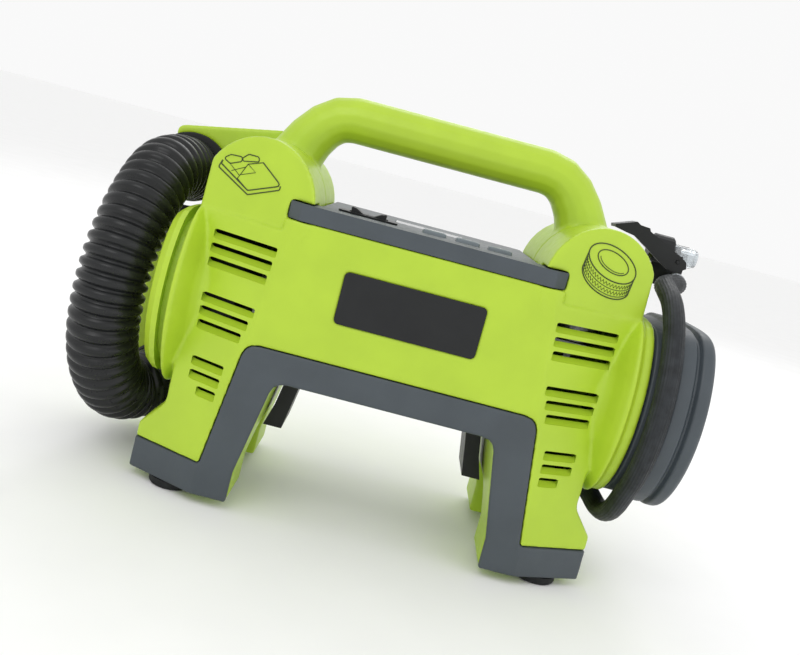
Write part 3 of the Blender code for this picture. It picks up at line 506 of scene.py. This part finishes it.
def panel_y(x, z):
    """Depth of the angled vent panel's surface at a half width and a height."""
    crease, run = panel_edges(z)
    return Y_FRONT + run * max(0.0, x - crease) / (129.0 - crease)


# Vent groups: height of the top slot, and the inner and outer ends of each slot.
VENT_PITCH = 7.4
VENTS = [(143.8, [(73.8, 110.5), (74.8, 110.5), (75.8, 110.0)]),
         (110.4, [(77.8, 108.6), (79.8, 108.3), (82.0, 107.8)]),
         (76.2, [(87.0, 106.0), (87.6, 105.6), (88.2, 99.5)])]

# One louvre: the slot's height, the sill's drop and run, and how deep the cut goes.
SLOT_HEIGHT, SILL_DROP, SILL_RUN, CUT_DEPTH = 2.3, 5.2, 3.4, 9.0

# Plates that fill the part's plain slots before the louvres are cut: inner end, bottom and top.
PATCH_OUTER, PATCH_THICK = 112.0, 3.2
PATCHES = [(73.0, 124.0, 144.0), (79.9, 90.2, 112.0), (86.2, 55.0, 78.0)]


def vent_patch(side, inner, outer, low, high):
    """A plate that closes the plain slots behind one vent group, flush with the panel."""
    rings = []
    for z in (low, high):
        crease, _ = panel_edges(z)
        bend = (inner + outer) / 2 if inner >= crease else max(crease, inner + 0.1)
        front = [(x, panel_y(x, z)) for x in (inner, bend, outer)]
        back = [(x, y + PATCH_THICK) for x, y in reversed(front)]
        rings.append([(side * x, y + 0.02, z) for x, y in front + back])
    return loft(rings)


def louvre(side, inner, outer, top):
    """The space of one louvre: a slot that runs inside, over a sill that slopes to the front."""
    rings = []
    for x in (inner, inner + 0.8, outer - 1.6, outer):
        y = panel_y(x, top - 2.5)
        squeeze = 0.55 if x in (inner, outer) else 0.0
        ceiling, slot_low = top - squeeze, top - SLOT_HEIGHT + squeeze
        sill = top - SILL_DROP + squeeze
        section = [(y - 4, ceiling), (y - 4, sill - 0.4), (y, sill), (y + SILL_RUN, slot_low),
                   (y + CUT_DEPTH, slot_low), (y + CUT_DEPTH, ceiling)]
        rings.append([(side * x, a, b) for a, b in section])
    return loft(rings)


def front_shell():
    """The front half with its vent panels."""
    shell = cad_copy("front_shell", "front_shell_skin")
    patches = [vent_patch(side, inner, PATCH_OUTER, low, high)
               for side in (-1, 1) for inner, low, high in PATCHES]
    combine(shell, patches, "UNION")
    melt(shell, *FRONT_MELT)
    slots = [louvre(side, inner, outer, top - VENT_PITCH * k)
             for side in (-1, 1) for top, ends in VENTS for k, (inner, outer) in enumerate(ends)]
    combine(shell, [joined(slots)], "DIFFERENCE", "MANIFOLD")
    piece(shade(shell, 40), "front_shell_skin", GREEN_MAT, stands_for=["front_shell"])


def rear_shell():
    """The rear half with the handle, the wing and the outlet duct."""
    shell = melt(cad_copy("rear_shell", "rear_shell_skin"), *REAR_MELT)
    piece(shade(shell, 50), "rear_shell_skin", GREEN_MAT, stands_for=["rear_shell"])


def bezel():
    """The grey trim over the bridge, the leg faces and the feet."""
    trim = melt(cad_copy("front_bezel", "front_bezel_skin"), *TRIM_MELT)
    piece(shade(trim, 50), "front_bezel_skin", SLATE_MAT, stands_for=["front_bezel"])


def badge():
    """The blank dark plate on the front, its edge rounded."""
    outline = [(-37.5, 114, 3), (37.5, 114, 3), (37.5, 141.5, 3), (-37.5, 141.5, 3)]
    plate = prism(round_corners(outline), "y", Y_FRONT - 0.4, Y_FRONT + 1.2, "badge")
    soften(plate, 0.35, 3)
    piece(shade(plate), "badge_skin", BLACK_MAT, stands_for=["badge_plate"])


# ---------------------------------------------------------------- pictograms

def disc_point(side, u, v, proud=0.12):
    """A point on a shoulder's tilted front disc, u outward and v up from its middle."""
    y = SHOULDER_Y + DISC_RISE * v + DISC_RUN * u
    return Vector((side * (SHOULDER_X + u), y - proud, SHOULDER_Z + v))


def drawn_line(points, width):
    """A printed line on a disc, a thin thread half sunk in the surface."""
    sides = 6
    return swept(points, lambda i, turn: width / 2, sides, "line")


def ellipse(a, b, tilt, centre=(0, 0), start=0.0, end=360.0, steps=40):
    """Points of an ellipse or an arc of one."""
    out = []
    for k in range(steps + 1):
        turn = math.radians(start + (end - start) * k / steps)
        x, y = a * math.cos(turn), b * math.sin(turn)
        c, s = math.cos(math.radians(tilt)), math.sin(math.radians(tilt))
        out.append((centre[0] + x * c - y * s, centre[1] + x * s + y * c))
    return out


def tyre_lines():
    """A plain tyre seen from an angle: two rims, the hole, the far edge and a zigzag tread."""
    tilt, middle, wide, high, drop = -19.0, (3.0, 15.6), 15.6, 8.2, (-1.4, -8.6)

    def shifted(points, share):
        """Points moved down the tread by a share of its depth."""
        return [(x + drop[0] * share, y + drop[1] * share) for x, y in points]

    top = ellipse(wide, high, tilt, middle, 183, 357)
    low = shifted(top, 1.0)
    lines = [(ellipse(wide, high, tilt, middle), 0.7), (low, 0.7), ([top[0], low[0]], 0.6),
             ([top[-1], low[-1]], 0.6), (ellipse(10.2, 5.0, tilt, (3.2, 16.2)), 0.6),
             (ellipse(8.6, 3.6, tilt, (3.4, 15.9), 190, 340), 0.4), (shifted(top, 0.45), 0.4),
             (shifted(top, 0.85), 0.4)]
    rim = ellipse(wide, high, tilt, middle, 184, 356, 44)
    for share in (0.25, 0.65):
        row = []
        for k, point in enumerate(rim):
            row += shifted([point], share + (0.1 if k % 2 else -0.1))
        lines.append((row, 0.4))
    return lines


def mattress_lines():
    """A plain air bed seen from an angle: top, two sides, two pillows and a turned-down sheet."""
    top = [(-23.4, 15.4, 0), (-23.6, 13.4, 1.0), (-5.3, 3.7, 1.5), (12.2, 10.6, 1.6), (-0.6, 19.6, 0.0)]
    skirt = [(-23.4, 15.4, 0), (-24.8, 11.4, 1.0), (-4.8, 1.6, 1.0), (11.9, 8.4, 1.2), (11.8, 10.4, 0)]
    pillow = [(-23.2, 16.6, 1.5), (-19.5, 19.2, 1.8), (-12.8, 19.6, 1.5), (-12.4, 17.2, 1.5),
              (-18.8, 14.6, 1.8)]
    second = [(-12.8, 18.8, 1.2), (-9.6, 21.8, 1.8), (-3.6, 21.8, 1.8), (-2.8, 19.4, 1.2),
              (-11.6, 17.6, 1.2)]
    rounded = [round_corners(shape, 5) for shape in (top, skirt, pillow, second)]
    return [(rounded[0], 0.7), (rounded[1], 0.7), (rounded[2] + rounded[2][:1], 0.6),
            (rounded[3] + rounded[3][:1], 0.6),
            ([(-0.6, 19.6), (-8.6, 16.8), (-12.6, 8.2), (-5.3, 3.7)], 0.5),
            ([(-8.6, 16.8), (-3.4, 13.6), (-11.6, 10.4)], 0.4),
            ([(-18.8, 14.6), (-12.0, 10.0)], 0.35), ([(-17.0, 11.2), (-9.6, 15.0)], 0.35)]


def pictograms():
    """The printed pictures on the two discs."""
    for side, lines, name in ((-1, mattress_lines(), "mattress_print"), (1, tyre_lines(), "tyre_print")):
        threads = []
        for points, width in lines:
            on_disc = [disc_point(side, side * u, v) for u, v in points]
            threads.append(drawn_line(on_disc, width))
        piece(shade(joined(threads), 80), name, INK_MAT)


# ---------------------------------------------------------------- controls

def rocker():
    """The saddle rocker with rounded ends."""
    half = 9.75
    saddle = [(-half, 172.9, 0.8), (-half + 3, 172.3, 0.6), (-3, 170.3, 1.5), (3, 170.3, 1.5),
              (half - 3, 172.3, 0.6), (half, 172.9, 0.8), (half - 1, 164, 0), (4, 161.5, 0),
              (-4, 161.5, 0), (-half + 1, 164, 0)]
    outline = [(ROCKER_X + a, b) for a, b in round_corners(saddle[::-1], 4)]
    body = prism(outline, "y", CONTROL_Y - 5, CONTROL_Y + 5, "rocker")
    soften(body, 0.4, 3, 40)
    piece(shade(body), "rocker_skin", BLACK_MAT, "rocker", ["rocker_switch"])


def buttons():
    """Soft grey key caps, crowned on top, each with its printed sign."""
    bodies = {"button_power": "power_button", "button_minus": "minus_button", "button_plus": "plus_button"}
    for name, x in BUTTON_X.items():
        rings = []
        for z, shrink, radius in ((164.5, 0.0, 1.4), (169.9, 0.0, 1.4), (170.6, 0.25, 1.4),
                                  (170.95, 0.9, 1.6), (BUTTON_TOP, 2.2, 1.2)):
            outline = soft_rectangle(BUTTON_W / 2 - shrink, BUTTON_D / 2 - shrink, radius, (x, CONTROL_Y))
            rings.append([(a, b, z) for a, b in outline])
        cap = loft(rings, name)
        stem = box(x - 8, x + 8, CONTROL_Y - 3, CONTROL_Y + 3, 163.5, 165.4)
        foot = box(x - 2, x + 2, CONTROL_Y - 2, CONTROL_Y + 2, 157.5, 164)
        combine(cap, [stem, foot], "UNION")
        piece(shade(cap), name + "_skin", BUTTON_MAT, bodies[name], [name])
        piece(sign(name, x), name + "_sign", PALE_MAT, bodies[name])


def sign(name, x):
    """The generic sign on a key: a ring with a stroke, a minus or a plus."""
    z0, z1 = BUTTON_TOP - 0.15, BUTTON_TOP + 0.05
    if name == "button_power":
        section = [(z0, 1.2), (z0, 1.75), (z1, 1.75), (z1, 1.2)]
        ring = turned(section, "ring", "z", (x, CONTROL_Y), 32, True)
        return joined([ring, box(x - 0.25, x + 0.25, CONTROL_Y + 0.4, CONTROL_Y + 2.2, z0, z1)])
    bar = box(x - 1.7, x + 1.7, CONTROL_Y - 0.3, CONTROL_Y + 0.3, z0, z1)
    if name == "button_plus":
        combine(bar, [box(x - 0.3, x + 0.3, CONTROL_Y - 1.7, CONTROL_Y + 1.7, z0, z1)], "UNION")
    return bar


# ---------------------------------------------------------------- reel

def reel():
    """The grey spool: hose groove, collar, deep groove and rounded rim, closed by a dished face."""
    corners = [(REEL_X0, 54.0, 0), (REEL_X0, 57.5, 0.3), (130.6, REEL_R, 0.8), (143.2, REEL_R, 0.8),
               (144.2, 62.5, 0.9), (151.6, 62.5, 0.9), (152.7, 60.2, 0.7), (153.8, 60.2, 0.7),
               (155.2, 63.0, 1.2), (160.6, 63.0, 2.6), (REEL_X1, 60.3, 1.6), (REEL_X1, 54.0, 1.0),
               (161.4, 51.0, 1.5), (161.0, 12.0, 1.0), (162.4, 9.0, 1.0), (162.4, 0.01, 0)]
    inner = [(159.0, 0.01), (159.0, 54.0)]
    spool = flat_drum(rounded_profile(corners) + inner, "reel", True)
    piece(shade(spool, 40), "reel_skin", SLATE_MAT, stands_for=["hose_reel"])


# ---------------------------------------------------------------- hoses

def air_hose():
    """The corrugated hose with plain ends."""
    points = smooth_route(AIR_ROUTE, 0.72)
    length = route_length(points)
    step = length / (len(points) - 1)

    def radius(i, turn):
        """Wide rounded crests with narrow valleys between them."""
        s = i * step
        plain = min(1.0, max(0.0, (s - 7.0) / 3.0), max(0.0, (length - 9.0 - s) / 3.0))
        valley = (0.5 + 0.5 * math.cos(2 * math.pi * s / RING_PITCH)) ** 2.2
        return AIR_HOSE_R - 0.25 - 2.5 * valley * plain - 0.4 * (1 - plain)

    hose = swept(points, radius, 56, "air_hose")
    piece(shade(hose, 80), "air_hose_skin", HOSE_MAT, stands_for=["air_hose"])
    return hose, points, length


def port():
    """The collar on the wing that the hose screws into."""
    corners = [(42.0, 15.6, 0), (42.0, 19.6, 0.5), (43.2, 20.8, 0.5), (45.7, 20.8, 0.4), (45.7, 15.6, 0)]
    ring = turned(rounded_profile(corners), "port", "y", (PORT_X, PORT_Z), 64, True)
    piece(shade(ring, 40), "port_skin", BLACK_MAT, stands_for=["inflate_port"])


def hole_shade_ring():
    """The black ring that lines the wing's open hole round the stowed hose: painted shade for the dark gap
    between hose and hole.
    """
    corners = [(45.4, 19.8, 0), (45.4, 24.6, 0.4), (46.2, 24.9, 0.3), (46.2, 23.6, 0),
               (50.0, 23.6, 0), (50.0, 19.8, 0)]
    ring = turned(rounded_profile(corners), "hole_shade_ring", "y", (HOLE_X, HOLE_Z), 72, True)
    # The ring is black as painted shade for the dark gap in the open hole round the hose.
    piece(shade(ring, 40), "wing_hole_shade_ring", BLACK_MAT)


def nozzle():
    """The stowed nozzle: cuff, step and tapered mouth."""
    corners = [(56.6, 11.5, 0), (56.6, 19.5, 0.8), (57.6, 20.3, 0.6), (63.6, 20.3, 0.9),
               (65.4, 17.2, 0.8), (83.0, 13.7, 0.6), (84.0, 13.0, 0.4), (84.0, 11.5, 0.4)]
    profile = rounded_profile(corners) + [(60.0, 11.5)]
    cone = turned(profile, "nozzle", "y", (NOZZLE_X, NOZZLE_Z), 72, True)
    return piece(shade(cone, 40), "nozzle_skin", BLACK_MAT, stands_for=["air_nozzle"])


def on_reel(degrees):
    """A point of the hose in the groove: degrees turn from the back over the top to the front."""
    turn = math.radians(degrees)
    return (TURN_X, Y_MID + TURN_R * math.cos(turn), DRUM_Z + TURN_R * math.sin(turn))


def pressure_hose():
    """The tyre hose, its cover moulded with fine lengthwise ribs."""
    route = DROOP + [on_reel(angle) for angle in range(225, 90, -18)] + LIFT
    points = smooth_route(route, 1.6)
    ribs = 22

    def radius(i, turn):
        """Fine ribs along the hose."""
        return PRESSURE_HOSE_R - 0.12 + 0.12 * math.cos(ribs * turn)

    hose = swept(points, radius, ribs * 4, "pressure_hose")
    piece(shade(hose, 80), "pressure_hose_skin", TYRE_HOSE_MAT,
          stands_for=["pressure_hose"])
    return hose, points, route_length(points)


def hoses():
    """Both hoses with what they carry."""
    hose, points, length = air_hose()
    tip = nozzle()
    port()
    # A black ring as painted shade in the wing's open hole round the hose.
    hole_shade_ring()
    hose, points, length = pressure_hose()


# ---------------------------------------------------------------- plain nodes

# Nodes that show as they are, with the bevel width and segments of their edges.
SOFTENED = [("deck_panel", 0.7, 3), ("rocker_frame", 0.35, 2), ("left_end_cap", 0.6, 3),
            ("chuck_body", 0.5, 3), ("chuck_elbow", 0.5, 3), ("chuck_lever", 0.55, 3),
            ("chuck_sleeve", 0.4, 3), ("hose_ferrule", 0.3, 3), ("hose_gland", 0.3, 3),
            ("battery_dock", 0.8, 3)]


def dress_nodes():
    """Materials and softened edges for the nodes that show as they are."""
    looks = {
        "deck_panel": SLATE_MAT, "rocker_frame": BLACK_MAT, "display_window": LENS_MAT,
        "battery_dock": BLACK_MAT, "terminal_block": NYLON_MAT,
        "terminal_blade_left": BRASS_MAT, "terminal_blade_right": BRASS_MAT,
        "blower_volute": BLACK_MAT, "blower_impeller": BLACK_MAT, "blower_motor": STEEL_MAT,
        "left_end_cap": GREEN_MAT, "compressor_motor": STEEL_MAT, "motor_pinion": BRASS_MAT,
        "crank_gear": NYLON_MAT, "compressor_frame": ALLOY_MAT, "piston_rod": ALLOY_MAT,
        "cylinder": ALLOY_MAT, "cylinder_head": ALLOY_MAT,
        "control_board": BOARD_MAT, "display_module": BLACK_MAT,
        "hose_gland": BLACK_MAT, "hose_ferrule": STEEL_MAT, "chuck_elbow": BLACK_MAT,
        "chuck_body": BLACK_MAT, "chuck_sleeve": CLEAR_MAT, "lever_pin": BLACK_MAT,
        "chuck_lever": BLACK_MAT,
    }
    looks.update({f"housing_screw_{i}": STEEL_MAT for i in range(1, 7)})
    looks.update({f"tact_switch_{i}": BLACK_MAT for i in range(1, 4)})
    for name, material in looks.items():
        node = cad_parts[name]
        node.data.materials.clear()
        node.data.materials.append(material)
    for name, width, segments in SOFTENED:
        soften(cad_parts[name], width, segments)


def feet():
    """Four rubber pads with a rounded tread edge."""
    corners = [(0.0, 0.01, 0), (0.0, 11.0, 0.8), (1.2, 12.2, 0.8), (4.7, 12.2, 0), (4.7, 0.01, 0)]
    for end, y in (("front", FOOT_FRONT_Y), ("rear", FOOT_REAR_Y)):
        for hand, x in (("left", -FOOT_X), ("right", FOOT_X)):
            name = f"foot_{end}_{hand}"
            pad = turned(rounded_profile(corners), name, "z", (x, y), 64)
            piece(shade(pad, 40), name + "_skin", FOOT_MAT, stands_for=[name])


# ---------------------------------------------------------------- stage

def look_direction(yaw, pitch, roll):
    """Right, up and forward of a camera that looks along +Y when all angles are zero."""
    forward = Vector((math.sin(yaw) * math.cos(pitch), math.cos(yaw) * math.cos(pitch), math.sin(pitch)))
    right = Vector((math.cos(yaw), -math.sin(yaw), 0))
    up = right.cross(forward)
    turned_right = math.cos(roll) * right + math.sin(roll) * up
    turned_up = -math.sin(roll) * right + math.cos(roll) * up
    return turned_right, turned_up, forward


def camera():
    """A camera in front of the pump, tipped so that the pump leans."""
    data = bpy.data.cameras.new("camera")
    data.lens = LENS
    data.sensor_width = SENSOR
    data.clip_start = 0.01
    cam = link(data, "camera")
    right, up, forward = look_direction(YAW, PITCH_ANGLE, ROLL)
    turned = Matrix((right, up, -forward)).transposed().to_4x4()
    cam.matrix_world = Matrix.Translation(CAMERA_PLACE) @ turned
    bpy.context.scene.camera = cam


def area_light(name, place, size, power):
    """A soft square light that faces the pump."""
    data = bpy.data.lights.new(name, "AREA")
    data.size = size
    data.energy = power
    lamp = link(data, name)
    lamp.location = place
    lamp.rotation_euler = (Vector(place) - Vector(LIGHT_TARGET)).to_track_quat("Z", "Y").to_euler()


def stage():
    """A pale floor, a pale sky and three soft lights."""
    bm = bmesh.new()
    for x, y in ((-1, -1), (1, -1), (1, 1), (-1, 1)):
        bm.verts.new((x * FLOOR_HALF, y * FLOOR_HALF, 0.0))
    bm.faces.new(bm.verts)
    mesh = bpy.data.meshes.new("floor")
    bm.to_mesh(mesh)
    bm.free()
    floor = link(mesh, "floor")
    m = Maker("floor")
    m.colour(m.ramp(m.noise(60, 2.0), FLOOR_LOW, FLOOR_HIGH))
    m.set(Roughness=0.75, Specular_IOR_Level=0.2)
    floor.data.materials.append(m.material)
    world = bpy.data.worlds.new("sky")
    world.use_nodes = True
    background = world.node_tree.nodes["Background"]
    background.inputs["Color"].default_value = (1.0, 1.0, 1.0, 1.0)
    background.inputs["Strength"].default_value = SKY_STRENGTH
    bpy.context.scene.world = world
    bpy.context.scene.view_settings.view_transform = "Standard"
    for name, (place, size, power) in LIGHTS.items():
        area_light(name, place, size, power)


front_shell()
rear_shell()
bezel()
badge()
pictograms()
rocker()
buttons()
reel()
hoses()
dress_nodes()
feet()
stage()
camera()
